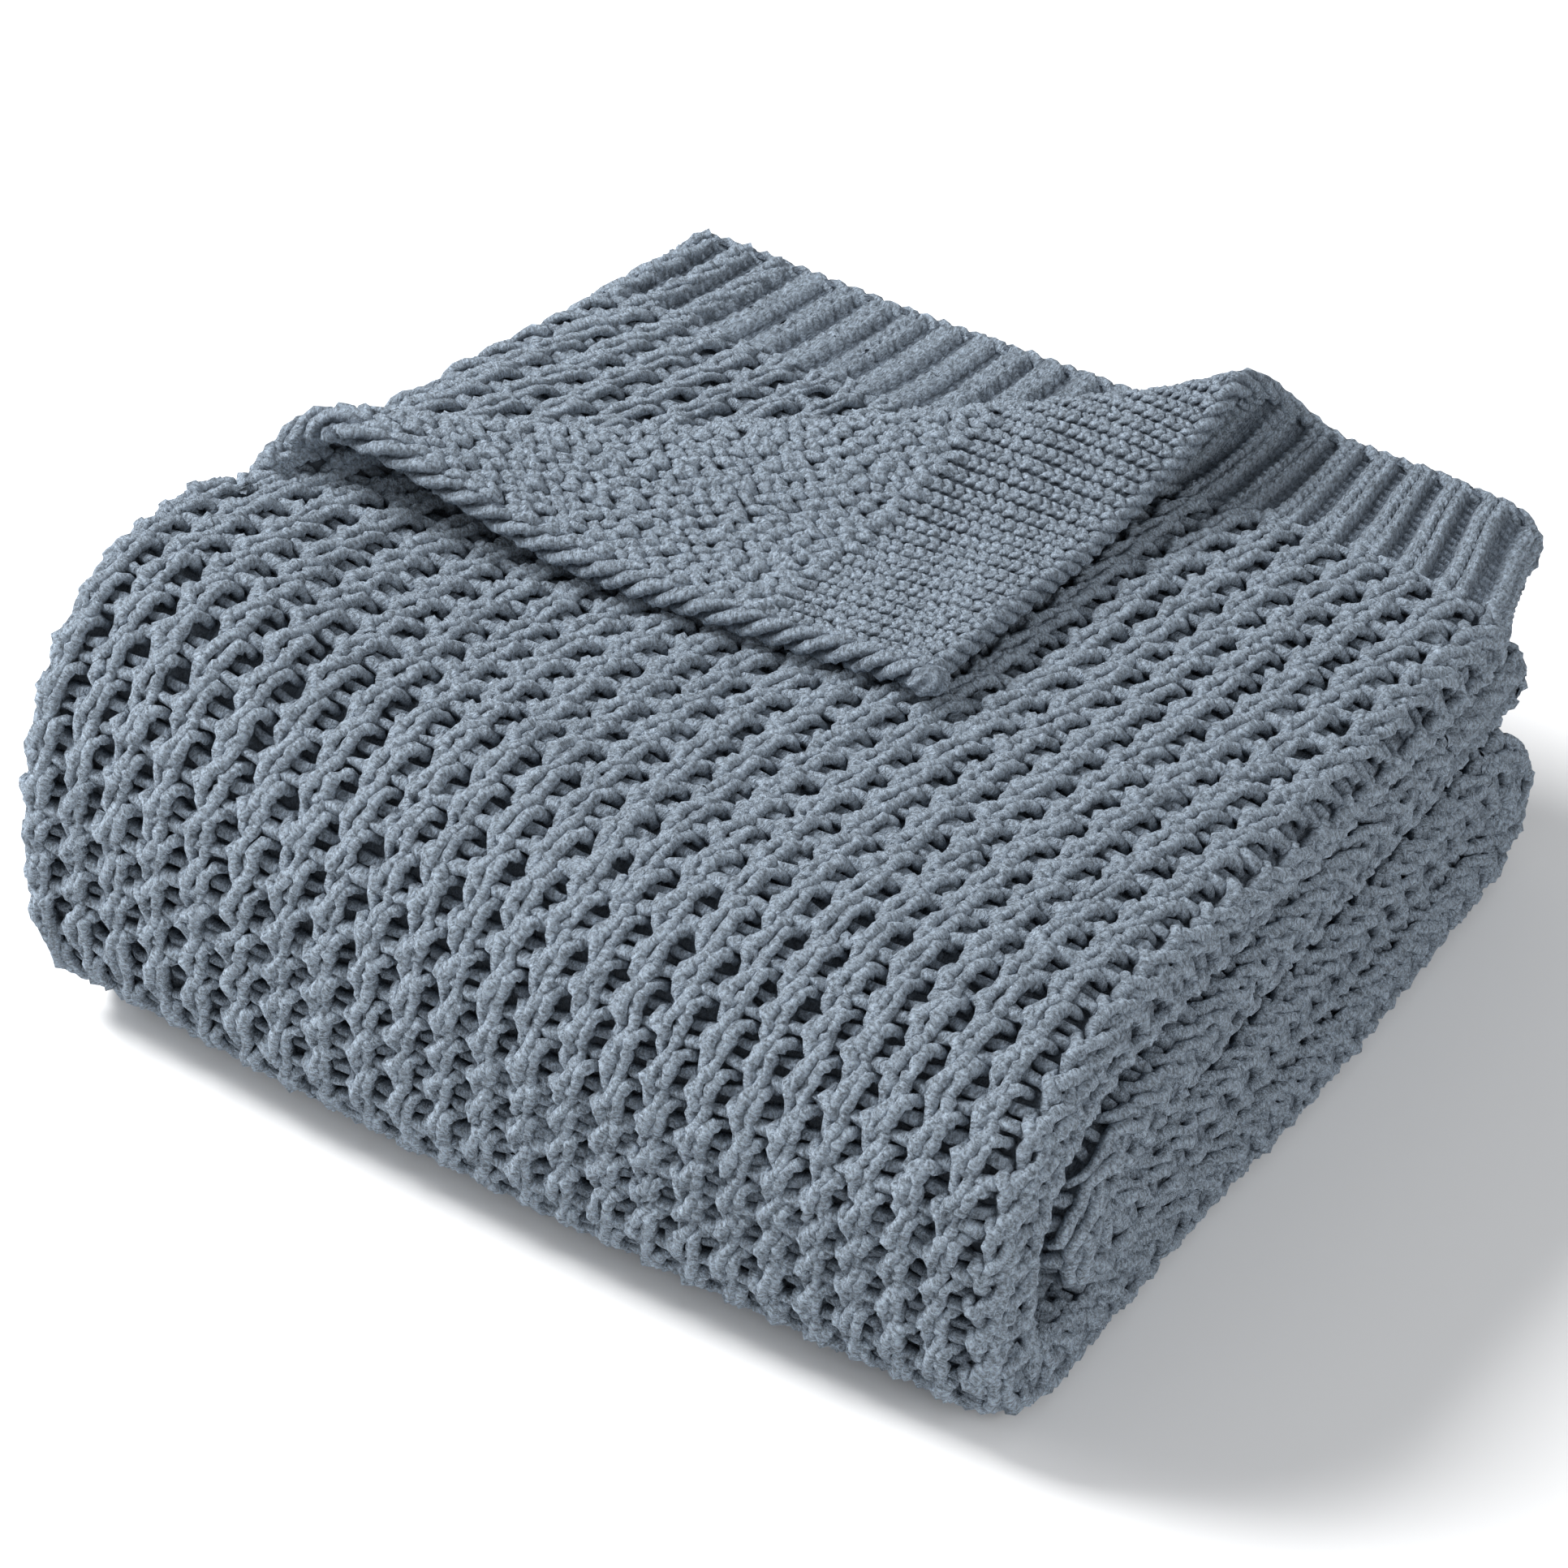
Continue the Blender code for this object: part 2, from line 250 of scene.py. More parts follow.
def turned_corner(x, y):
    """Where the turned corner goes: shifts in plan and up, for places on the top layer near it."""
    line = math.hypot(TURNED_HEM, TURNED_SIDE)
    run = np.array((TURNED_HEM, TURNED_SIDE)) / line
    out = np.array((-TURNED_SIDE, TURNED_HEM)) / line
    foot = np.array((0.0, HEM_AT_BACK - TURNED_SIDE))
    plan = np.stack((x, y), -1)
    rel = plan - foot
    distance = rel @ out
    share = (rel @ run) / line
    corner = np.array((HEM_SLIDE, TURNED_SIDE))
    reach = corner @ out
    shares, radii = zip(*ROLL_RADII)
    radius = smooth_table(np.clip(share, 0.0, 1.0), shares, radii)
    half_turn = math.pi * radius
    mean_turn = math.pi * smooth_table(np.array([(corner @ run) / line]), shares, radii)[0]
    goal = np.array(CORNER_LANDS_AT) - foot - (corner @ run) * run
    stretch = -(goal @ out) / (reach - mean_turn)
    slip = (goal @ run) / (reach - mean_turn)
    angle = np.clip(distance / radius, 0.0, math.pi)
    beyond = np.maximum(distance - half_turn, 0.0)
    back = np.where(distance > 0.0, radius * np.sin(angle) - stretch * beyond, distance)
    settled = smooth_step(beyond / FLAP_SETTLES_OVER)
    high = radius * (1.0 - np.cos(angle))
    rise = np.where(beyond > 0.0, high + (LAYER - high) * settled, high)
    moved = foot + (share * line + slip * beyond)[..., None] * run + back[..., None] * out
    return moved - plan, np.where(distance > 0.0, rise, 0.0), distance > 0.0


def middle(across, along):
    """The middle of the cloth in space, for lengths across it from the side edge and along it."""
    slide_at, slides = zip(*SLIDES)
    slid = across + smooth_table(along, slide_at, slides)
    section, _ = walk(ACROSS, (0.0, LAYER), 0.0, slid)
    top_level = 3.5 * STRIP + 3 * BEND_SLACK
    path, angle = walk(ALONG, (HEM_AT_BACK, top_level), math.pi, along)
    x = section[..., 0]
    off = section[..., 1]
    y = path[..., 0] + off * np.sin(angle)
    z = path[..., 1] - off * np.cos(angle)
    places, left, right = zip(*SIDE_REACH)
    toward_left = smooth_step(1.0 - x / LEFT_SOFTENS_OVER)
    toward_right = smooth_step(1.0 + (x - WIDTH) / RIGHT_SOFTENS_OVER)
    shift, rise, turned = turned_corner(x, y)
    turned &= (slid < WIDTH - LAYER) & (along < TOP_RUN)
    x = x - toward_left * smooth_table(along, places, left) * ~turned
    x = x + toward_right * smooth_table(along, places, right)
    x = np.where(turned, x + shift[..., 0], x)
    y = np.where(turned, y + shift[..., 1], y)
    z = np.where(turned, z + rise, z)
    return sag(np.stack((x, y, z), -1))


def sag(points):
    """Settle the stack: higher at the left, narrower at the back, bowed and spread at the front."""
    x, y, z = points[..., 0], points[..., 1], points[..., 2]
    share = x / WIDTH
    from_left = 1.0 - smooth_step(x / NARROWS_OVER)
    x = x + BACK_NARROWING * from_left * smooth_step((y / HEM_AT_BACK - NARROWS_FROM) / NARROWS_WITHIN)
    places, front, back = zip(*HEIGHT_SCALES)
    share = np.clip(share, 0.0, 1.0)
    toward_back = smooth_step(y / HEM_AT_BACK)
    scale = smooth_table(share, places, front) * (1.0 - toward_back)
    scale = scale + smooth_table(share, places, back) * toward_back
    z = z * scale
    bow = FRONT_BOW * (1.0 - ((share - BOW_CENTRE) / BOW_CENTRE) ** 2)
    y = y - bow * (1.0 - toward_back)
    low = 1.0 - smooth_step(z / (4.0 * STRIP))
    y = y - FOOT_PUSH * low * (1.0 - smooth_step(y / FOOT_PUSH_OVER))
    return np.stack((x, y, z), -1)


def stations(rows, run_step, bend_step):
    """Lengths at which the runs and bends of a table are drawn, with their own steps."""
    out = [0.0]
    for kind, size, turn in rows:
        length = row_length(kind, size, turn)
        count = max(2, round(length / (run_step if kind == "run" else bend_step)))
        start = out[-1]
        out.extend(start + length * (i + 1) / count for i in range(count))
    return np.array(out)


def frames(us, vs):
    """A grid on the middle of the cloth: places, unit steps across and along, and face normals."""
    u, v = np.meshgrid(us, vs, indexing="ij")
    centre = middle(u, v)
    across = np.gradient(centre, axis=0)
    along = np.gradient(centre, axis=1)
    across /= np.linalg.norm(across, axis=-1, keepdims=True)
    along /= np.linalg.norm(along, axis=-1, keepdims=True)
    normal = np.cross(along, across)
    normal /= np.linalg.norm(normal, axis=-1, keepdims=True)
    return u, v, centre, across, along, normal


def settling_shift():
    """How far the folded stack moves so that the origin lies in the middle under it."""
    us = stations(ACROSS, *MEASURE_ACROSS)
    vs = stations(ALONG, *MEASURE_ALONG)
    _, _, centre, _, _, normal = frames(us, vs)
    both = np.concatenate((centre + 0.5 * CLOTH * normal, centre - 0.5 * CLOTH * normal))
    both = both.reshape(-1, 3)
    low = both.min(axis=0)
    high = both.max(axis=0)
    return -np.array((0.5 * (low[0] + high[0]), 0.5 * (low[1] + high[1]), low[2]))


SHIFT = settling_shift()


def noise(u, v, size, seed):
    """Smooth seeded noise from -1 to 1 over the cloth, with lumps of one size."""
    side = 256
    first_u, first_v = 37.0, 11.0
    values = np.random.default_rng(seed).uniform(-1.0, 1.0, (side, side))
    a = u / size + first_u
    b = v / size + first_v
    i = np.floor(a).astype(int)
    k = np.floor(b).astype(int)
    s = smooth_step(a - i)
    t = smooth_step(b - k)
    i0, i1, k0, k1 = i % side, (i + 1) % side, k % side, (k + 1) % side
    near = values[i0, k0] * (1 - s) + values[i1, k0] * s
    far = values[i0, k1] * (1 - s) + values[i1, k1] * s
    return near * (1 - t) + far * t


def cell_noise(column, row, seed):
    """One seeded number from -1 to 1 for each cell."""
    side = 97
    values = np.random.default_rng(seed).uniform(-1.0, 1.0, (side, side))
    return values[np.round(column).astype(int) % side, np.round(row).astype(int) % side]


def yarn(distance, radius):
    """Height of a round yarn above its own axis at a distance to its side, steep beyond it."""
    t = np.abs(distance) / radius
    edge, slope = 0.93, 3.4
    inside = np.sqrt(1.0 - np.minimum(t, edge) ** 2)
    return radius * np.where(t < edge, inside, inside - (t - edge) * slope)


# Yarns of one waffle cell: its ridge is at 0 across, its pit at 0.5 across and 0.5 along
ARCH_YARN = (
    # across, along, height of the axis, radius, all but the height in cells
    (-0.12, 1.12, -0.0008, 0.105),
    (0.04, 0.94, 0.0024, 0.136),
    (0.19, 0.72, 0.0034, 0.148),
    (0.21, 0.48, 0.0040, 0.154),
    (0.29, 0.27, 0.0034, 0.150),
    (0.42, 0.16, 0.0018, 0.142),
    (0.58, 0.15, -0.0022, 0.108),
)
KNOB_YARN = (
    (0.04, 1.08, 0.0010, 0.125),
    (-0.14, 0.94, 0.0036, 0.156),
    (-0.27, 0.78, 0.0028, 0.160),
    (-0.25, 0.58, -0.0002, 0.130),
)
BAR_YARN = (
    (0.08, 1.00, -0.0012, 0.115),
    (0.36, 0.92, 0.0014, 0.166),
    (0.62, 0.90, 0.0014, 0.166),
    (0.92, 0.98, -0.0012, 0.115),
)
FLOOR_YARN = (
    (0.14, 0.50, -0.0018, 0.110),
    (0.38, 0.58, -0.0001, 0.156),
    (0.62, 0.56, -0.0001, 0.156),
    (0.88, 0.44, -0.0020, 0.110),
)
# One leg of a stitch on the reverse of a rib: across in cells, along in stitches, height in metres
RIB_LEG = (
    (0.010, -0.20, 0.0030, 0.066),
    (0.050, 0.20, 0.0055, 0.094),
    (0.115, 0.75, 0.0053, 0.094),
    (0.170, 1.30, 0.0026, 0.066),
)
WAFFLE_LEG = (
    (0.000, -0.20, 0.0020, 0.085),
    (0.060, 0.20, 0.0056, 0.124),
    (0.150, 0.72, 0.0060, 0.130),
    (0.230, 1.25, 0.0022, 0.090),
)
# The two strands of a ridge: reach to the side and radius in cells, heights in metres
ROPE_REACH = 0.165
ROPE_RADIUS = 0.152
ROPE_HEIGHT = 0.0028
ROPE_WEAVE = 0.0014
# The two strands of a rib in the hems
RIB_STRANDS = (
    # side of the rib, distance from its middle and radius in cells
    (-1.0, 0.154, 0.140),
    (1.0, 0.146, 0.136),
)
PIT_FLOOR = -0.0034
# Stitches for each cell's width along a rib's face, and along the looser reverse of the waffle
STITCHES = 4.3
LOOSE_STITCHES = 2.4

# Heights between which the painted shade goes from deepest to none: yarns and beds, on the face and
# reverse
FACE_SHADE_SPAN = (-0.0034, 0.0056)
BACK_SHADE_SPAN = (0.0018, 0.0064)
FACE_BED_SHADE_SPAN = (PIT_FLOOR, 0.0058)
BACK_BED_SHADE_SPAN = (0.0036, 0.0066)
# The one tone of painted shade on the edge cores, which lie under the edge yarns
EDGE_CORE_SHADE = 0.30

# Unevenness of a yarn's thickness: a share of its radius, and the size of a lump
FLUFF = (0.28, 0.0038)
FINE_FLUFF = (0.14, 0.0020)
BEADS = (0.20, 0.0054)
FLUFF_AROUND = 0.006
EDGE_ROUGHNESS = 0.55
# A yarn's map: its radius there, and how far each next yarn starts along the pattern
MAP_RADIUS = 0.0023
MAP_OFFSET = 0.137


def lumps(u, v, coarse, fine):
    """The unevenness of velvety yarn, in two sizes."""
    lump = coarse * noise(u, v, 0.0036, SEED_LUMPS)
    return lump + fine * noise(u, v, 0.0019, SEED_FINE_LUMPS)


def rows_and_places():
    """Row numbers of the waffle beside their places along the cloth."""
    places, pitches = zip(*ROW_PITCHES)
    fine = np.arange(-0.1, 1.7, ROW_STEP)
    steps = ROW_STEP / np.interp(fine[:-1] + 0.5 * ROW_STEP, places, pitches)
    rows = np.concatenate(((0.0,), np.cumsum(steps)))
    return rows - np.interp(RIB_LENGTH, fine, rows), fine


ROW_NUMBERS, ROW_PLACES = rows_and_places()


def row_at(v):
    """The row of waffle cells at a place along the cloth, counted from the first hem."""
    return np.interp(v, ROW_PLACES, ROW_NUMBERS)


def drift(u, v):
    """How far the cells of the waffle wander across and along, in cells."""
    across = 0.045 * noise(u, v, 0.9 * CELL, SEED_DRIFT_U)
    along = 0.050 * noise(u, v, 0.8 * CELL, SEED_DRIFT_V)
    return across, along


def bent(cu, cv):
    """Lengths on the cloth for places in cells, with the unevenness of the knit."""
    u = cu * CELL
    v = np.interp(cv, ROW_NUMBERS, ROW_PLACES)
    lump = 0.0050
    shift_u, shift_v = drift(u, v)
    shift_u = shift_u + 0.034 * noise(u, v, lump, SEED_FINE_DRIFT_U)
    shift_v = shift_v + 0.030 * noise(u, v, lump, SEED_FINE_DRIFT_V)
    return u - CELL * shift_u, v - CELL * shift_v


def waffle_face(u, v):
    """Height of the bed under the yarns of the waffle: low ridges with pits between them."""
    drift_u, drift_v = drift(u, v)
    cu = u / CELL + drift_u
    cv = row_at(v) + drift_v
    x = np.abs(cu - np.round(cu))
    y = np.abs(cv - np.round(cv))
    ridge = 1.0 - smooth_step((x - 0.12) / 0.16)
    bridge = 1.0 - smooth_step((y - 0.10) / 0.16)
    height = PIT_FLOOR + 0.0010 + 0.0036 * ridge + 0.0010 * bridge * (1.0 - ridge)
    return height + 0.0004 * noise(u, v, 0.003, SEED_BED)


def rib_face(u, v):
    """Height of the face over the middle of the cloth in a ribbed hem."""
    cu = u / CELL + 0.02 * noise(u, v, 0.010, SEED_RIB_U)
    cv = v / CELL + 0.03 * noise(u, v, 0.008, SEED_RIB_V)
    x = cu - np.round(cu)
    valley = 0.5 - np.abs(x)
    bars = np.cos(2.0 * math.pi * (STITCHES * cv + 0.55 * valley * np.sign(x) * 2.0))
    height = 0.0004 + 0.0010 * bars + 0.0003 * noise(u, v, 0.004, SEED_RIB_FACE)
    height = np.maximum(height, 0.0026 - 0.0020 * smooth_step((np.abs(x) - 0.10) / 0.15))
    for sign, off, radius in RIB_STRANDS:
        away = x - sign * off
        twist = np.cos(2.0 * math.pi * STITCHES * cv + sign * 1.7 * away / radius)
        strand = 0.0022 + CELL * yarn(away, radius * (1.0 + 0.10 * twist)) + 0.00065 * twist
        height = np.maximum(height, strand)
    return height + lumps(u, v, 0.00040, 0.00030)


def from_end(v):
    """The distance to the nearer end of the cloth."""
    return np.minimum(v, CLOTH_LENGTH - v)


def rib_share(v):
    """1 in the ribbed hems, 0 in the waffle."""
    return 1.0 - smooth_step((from_end(v) - RIB_LENGTH + 0.5 * RIB_BLEND) / RIB_BLEND)


def face_height(u, v):
    """Height of the face side over the middle of the cloth."""
    ribs = rib_share(v)
    return waffle_face(u, v) * (1.0 - ribs) + rib_face(u, from_end(v)) * ribs


def back_height(u, v):
    """Height of the reverse side over the middle of the cloth, negative outwards."""
    cu = u / CELL + 0.035 * noise(u, v, 0.012, SEED_BACK_U)
    cv = from_end(v) / CELL + 0.05 * noise(u, v, 0.010, SEED_BACK_V)
    wale = (2.0 * cu - 0.5) - np.round(2.0 * cu - 0.5)
    side = np.abs(wale) / 0.5
    leg = np.abs(np.cos(math.pi * (STITCHES * cv + 0.75 * side))) ** 0.7
    arch = np.sqrt(np.clip(1.0 - (side / 0.98) ** 2, 0.0, 1.0))
    arch = arch * (0.72 + 0.28 * smooth_step(side / 0.25))
    return -0.0042 - 0.0020 * arch * (0.45 + 0.55 * leg) - lumps(u, v, 0.00030, 0.00022)


def back_bed(u, v):
    """Height of the bed under the yarns of the reverse."""
    return -0.0040 - 0.0003 * noise(u, v, 0.004, SEED_BACK_BED)


def anywhere(u, v):
    """Keep everything."""
    return np.ones(u.shape, bool)


def in_scene(name, data):
    """A new object in the scene."""
    piece = bpy.data.objects.new(name, data)
    bpy.context.scene.collection.objects.link(piece)
    return piece


def paint_shade_by_depth(mesh, shade_tone):
    """Give each point its tone of painted shade, which the material reads: low where the point lies
    deep.
    """
    shade = np.ones((len(shade_tone), 4), np.float32)
    shade[:, :3] = shade_tone[:, None]
    layer = mesh.color_attributes.new(name="painted_shade", type="FLOAT_COLOR", domain="POINT")
    layer.data.foreach_set("color", shade.ravel())


def grid_quads(rows, columns):
    """The numbers of a grid's points, and its faces."""
    ids = np.arange(rows * columns).reshape(rows, columns)
    quads = np.stack((ids[:-1, :-1], ids[:-1, 1:], ids[1:, 1:], ids[1:, :-1]), -1)
    return ids, quads.reshape(-1, 4)


def linked_mesh(name, co, corners, plan, shade_tone):
    """A smooth mesh of four-sided faces, with its map and its tone of painted shade, in the scene."""
    co[:, 2] = np.maximum(co[:, 2], 0.0)
    mesh = bpy.data.meshes.new(name)
    mesh.vertices.add(len(co))
    mesh.vertices.foreach_set("co", co.astype(np.float32).ravel())
    mesh.loops.add(len(corners))
    mesh.loops.foreach_set("vertex_index", corners.astype(np.int32))
    mesh.polygons.add(len(corners) // 4)
    mesh.polygons.foreach_set("loop_start", np.arange(0, len(corners), 4, dtype=np.int32))
    mesh.update(calc_edges=True)
    mesh.shade_smooth()
    mesh.uv_layers.new(name="cloth").data.foreach_set("uv", plan.astype(np.float32).ravel())
    paint_shade_by_depth(mesh, shade_tone)
    return in_scene(name, mesh)


def quad_mesh(name, points, across, along, shade_tone, keep=None):
    """A smooth mesh from a grid of points, with the cloth's own lengths as its map."""
    _, quads = grid_quads(*points.shape[:2])
    if keep is not None:
        quads = quads[keep.reshape(-1)[quads].all(axis=1)]
    used, inverse = np.unique(quads.reshape(-1), return_inverse=True)
    co = points.reshape(-1, 3)[used]
    plan = np.stack((across.reshape(-1)[used][inverse], along.reshape(-1)[used][inverse]), -1)
    return linked_mesh(name, co, inverse, plan, shade_tone.reshape(-1)[used])


def steps_over(span, step, least):
    """Evenly spaced places over a span, at about one step from each other."""
    return np.linspace(*span, max(least, round((span[1] - span[0]) / step) + 1))


# How far the sides of a raised stitch swell outwards
PUFF = 0.0005


def knit_patch(name, u_range, v_range, step, height_of, outward=1.0, keep_where=anywhere):
    """One area of stitches on the folded cloth, face side or reverse side."""
    us = steps_over(u_range, step, 3)
    vs = steps_over(v_range, step, 3)
    u, v, centre, across, along, normal = frames(us, vs)
    height = height_of(u, v)
    rise = outward * height
    by_u = np.gradient(rise, us, axis=0)
    by_v = np.gradient(rise, vs, axis=1)
    steep = np.sqrt(1.0 + by_u ** 2 + by_v ** 2)
    points = centre + SHIFT + normal * height[..., None]
    points = points - across * (PUFF * by_u / steep)[..., None]
    points = points - along * (PUFF * by_v / steep)[..., None]
    # Painted shade: the deeper a point lies between the stitches, the darker its tone
    low, high = FACE_BED_SHADE_SPAN if outward > 0 else BACK_BED_SHADE_SPAN
    shade_tone = np.clip((rise - low) / (high - low), 0.0, 1.0)
    order = slice(None, None, 1 if outward > 0 else -1)
    keep = keep_where(u, v)
    return quad_mesh(name, points[order], u[order], v[order], shade_tone[order], keep[order])


def placed(u, v):
    """Places on the middle of the cloth and the directions that point out of its face."""
    reach = 0.0008
    across = middle(u + reach, v) - middle(u - reach, v)
    along = middle(u, v + reach) - middle(u, v - reach)
    normal = np.cross(along, across)
    normal /= np.linalg.norm(normal, axis=-1, keepdims=True)
    return middle(u, v) + SHIFT, normal


def smooth_path(table, samples):
    """Points on a smooth curve through the rows of a short table."""
    rows = np.array(table, float)
    padded = np.concatenate((2.0 * rows[:1] - rows[1:2], rows, 2.0 * rows[-1:] - rows[-2:-1]))
    a, b, c, d = padded[:-3], padded[1:-2], padded[2:-1], padded[3:]
    t = np.linspace(0.0, 1.0, samples, endpoint=False)[:, None, None]
    curve = 0.5 * (2.0 * b + (c - a) * t + (2.0 * a - 5.0 * b + 4.0 * c - d) * t ** 2
                   + (3.0 * b - a - 3.0 * c + d) * t ** 3)
    return np.concatenate((curve.transpose(1, 0, 2).reshape(-1, rows.shape[1]), rows[-1:]))


def tubes(axis, normal, radius, ring, height, keep, rough=1.0):
    """Round velvety yarns around rows of points, lumpy along their length."""
    ahead = np.gradient(axis, axis=1)
    ahead /= np.maximum(np.linalg.norm(ahead, axis=-1, keepdims=True), 1e-9)
    side = np.cross(ahead, normal)
    side /= np.maximum(np.linalg.norm(side, axis=-1, keepdims=True), 1e-9)
    up = np.cross(side, ahead)
    steps = np.linalg.norm(np.diff(axis, axis=1), axis=-1)
    gone = np.concatenate((np.zeros((len(axis), 1)), np.cumsum(steps, axis=1)), axis=1)
    turn = -0.5 * math.pi + np.arange(ring) * 2.0 * math.pi / ring
    own = MAP_OFFSET * np.arange(len(axis))[:, None]
    place = (gone + own)[..., None]
    around = FLUFF_AROUND * turn
    fluff = FLUFF[0] * noise(place, around, FLUFF[1], SEED_FLUFF)
    fluff = fluff + FINE_FLUFF[0] * noise(place, around, FINE_FLUFF[1], SEED_FINE_FLUFF)
    beads = BEADS[0] * np.cos(2.0 * math.pi * gone / BEADS[1] + own * 40.0)
    thick = radius[..., None] * (1.0 + rough * (fluff + beads[..., None]))
    points = axis[:, :, None] + thick[..., None] * (side[:, :, None] * np.cos(turn)[:, None]
                                                    + up[:, :, None] * np.sin(turn)[:, None])
    return points, gone, height[..., None] + thick * np.sin(turn), keep


def yarns(u, v, height, radius, ring, outward=1.0, keep_where=anywhere):
    """Yarns laid on the folded cloth: each row of the tables is one yarn."""
    centre, normal = placed(u, v)
    normal = outward * normal
    axis = centre + normal * height[..., None]
    return tubes(axis, normal, radius, ring, height, keep_where(u, v))


def yarn_mesh(name, sets, shade_span=FACE_SHADE_SPAN):
    """One mesh from several sets of yarns, with lengths along and around them as its map."""
    corners, plans, points_of, shade_tones_of = [], [], [], []
    base = 0
    for points, gone, shade_tone, keep in sets:
        count, length, ring = points.shape[:3]
        ids = base + np.arange(count * length * ring).reshape(count, length, ring)
        after = np.roll(ids, -1, axis=2)
        quads = np.stack((ids[:, :-1], ids[:, 1:], after[:, 1:], after[:, :-1]), -1)
        start = gone + MAP_OFFSET * np.arange(count)[:, None]
        arc = MAP_RADIUS * (np.arange(ring) * 2.0 * math.pi / ring)
        s, arc = np.broadcast_arrays(start[..., None], arc)
        far = arc + MAP_RADIUS * 2.0 * math.pi / ring
        plan = np.stack((np.stack((s[:, :-1], s[:, 1:], s[:, 1:], s[:, :-1]), -1),
                         np.stack((arc[:, :-1], arc[:, 1:], far[:, 1:], far[:, :-1]), -1)), -1)
        here = keep[:, :-1] & keep[:, 1:]
        corners.append(quads[here].reshape(-1, 4))
        plans.append(plan[here].reshape(-1, 2))
        points_of.append(points.reshape(-1, 3))
        shade_tones_of.append(shade_tone.reshape(-1))
        base += count * length * ring
    quads = np.concatenate(corners)
    used, inverse = np.unique(quads.reshape(-1), return_inverse=True)
    co = np.concatenate(points_of)[used]
    # Painted shade: the lower a point of a yarn lies, the darker its tone
    shade_tone = np.clip((np.concatenate(shade_tones_of)[used] - shade_span[0]) / (shade_span[1] - shade_span[0]), 0.0, 1.0)
    return linked_mesh(name, co, inverse, np.concatenate(plans), shade_tone)


def rope_yarns(columns, rows, samples, ring, keep_where=anywhere):
    """The ridges: two yarns each that wind over each other once in each cell."""
    cv = np.linspace(rows[0], rows[1], round((rows[1] - rows[0]) * samples) + 1)
    column, row = np.meshgrid(np.arange(*columns), cv, indexing="ij")
    across = column * CELL
    along = row * CELL
    sets = []
    for sign in (-1.0, 1.0):
        wind = math.pi * row + 0.5 * noise(across, along, 1.3 * CELL, SEED_ROPE_WIND)
        uneven = noise(across, along, 0.9 * CELL, SEED_ROPE_REACH + int(sign))
        cu = column + sign * (ROPE_REACH + 0.02 * uneven) * np.cos(wind)
        u, v = bent(cu, row)
        height = ROPE_HEIGHT + sign * ROPE_WEAVE * np.sin(wind)
        radius = CELL * ROPE_RADIUS * (1.0 + 0.06 * noise(u, v, 0.007, SEED_ROPE_SIZE))
        sets.append(yarns(u, v, height, radius, ring, 1.0, keep_where))
    return sets


def cell_yarns(columns, rows, table, samples, ring, seed, keep_where):
    """One yarn of every waffle cell, a little different in each."""
    path = smooth_path(table, samples)
    column, row = np.meshgrid(np.arange(*columns), np.arange(*rows), indexing="ij")
    column = column.reshape(-1, 1)
    row = row.reshape(-1, 1)
    shift_x = 0.035 * cell_noise(column, row, seed)
    shift_y = 0.050 * cell_noise(column, row, seed + 1)
    size = 1.0 + 0.09 * cell_noise(column, row, seed + 2)
    lift = 0.00050 * cell_noise(column, row, seed + 3)
    tilt = 0.10 * cell_noise(column, row, seed + 4)
    middle_x = path[:, 0].mean()
    middle_y = path[:, 1].mean()
    x = path[:, 0] + shift_x + tilt * (path[:, 1] - middle_y)
    y = path[:, 1] + shift_y - tilt * (path[:, 0] - middle_x)
    u, v = bent(column + x, row + y)
    return [yarns(u, v, path[:, 2] + lift, CELL * path[:, 3] * size, ring, 1.0, keep_where)]


def rows_between(places):
    """The rows of cells at two places along the cloth."""
    return float(row_at(places[0])), float(row_at(places[1]))


def waffle_yarns(name, columns, places, samples, ring, bends, keep_where=anywhere):
    """All yarns of an area of waffle: whole columns of cells between two places along the cloth."""
    margin = 0.004
    rows = rows_between(places)
    whole = (math.floor(rows[0]) - 1, math.ceil(rows[1]) + 1)

    def inside(u, v):
        return keep_where(u, v) & (v > places[0] - margin) & (v < places[1] + margin)

    sets = rope_yarns(columns, rows, samples, ring, keep_where)
    sets += cell_yarns(columns, whole, ARCH_YARN, bends, ring, SEED_ARCH, inside)
    sets += cell_yarns(columns, whole, KNOB_YARN, bends, ring, SEED_KNOB, inside)
    sets += cell_yarns(columns, whole, BAR_YARN, 1, ring, SEED_BAR, inside)
    sets += cell_yarns(columns, whole, FLOOR_YARN, 1, 5, SEED_FLOOR, inside)
    return yarn_mesh(name, sets)


def hem_ropes(name, columns, places):
    """The two strands of each rib where a hem goes round a fold."""
    return yarn_mesh(name, rope_yarns(columns, rows_between(places), 6, 6))


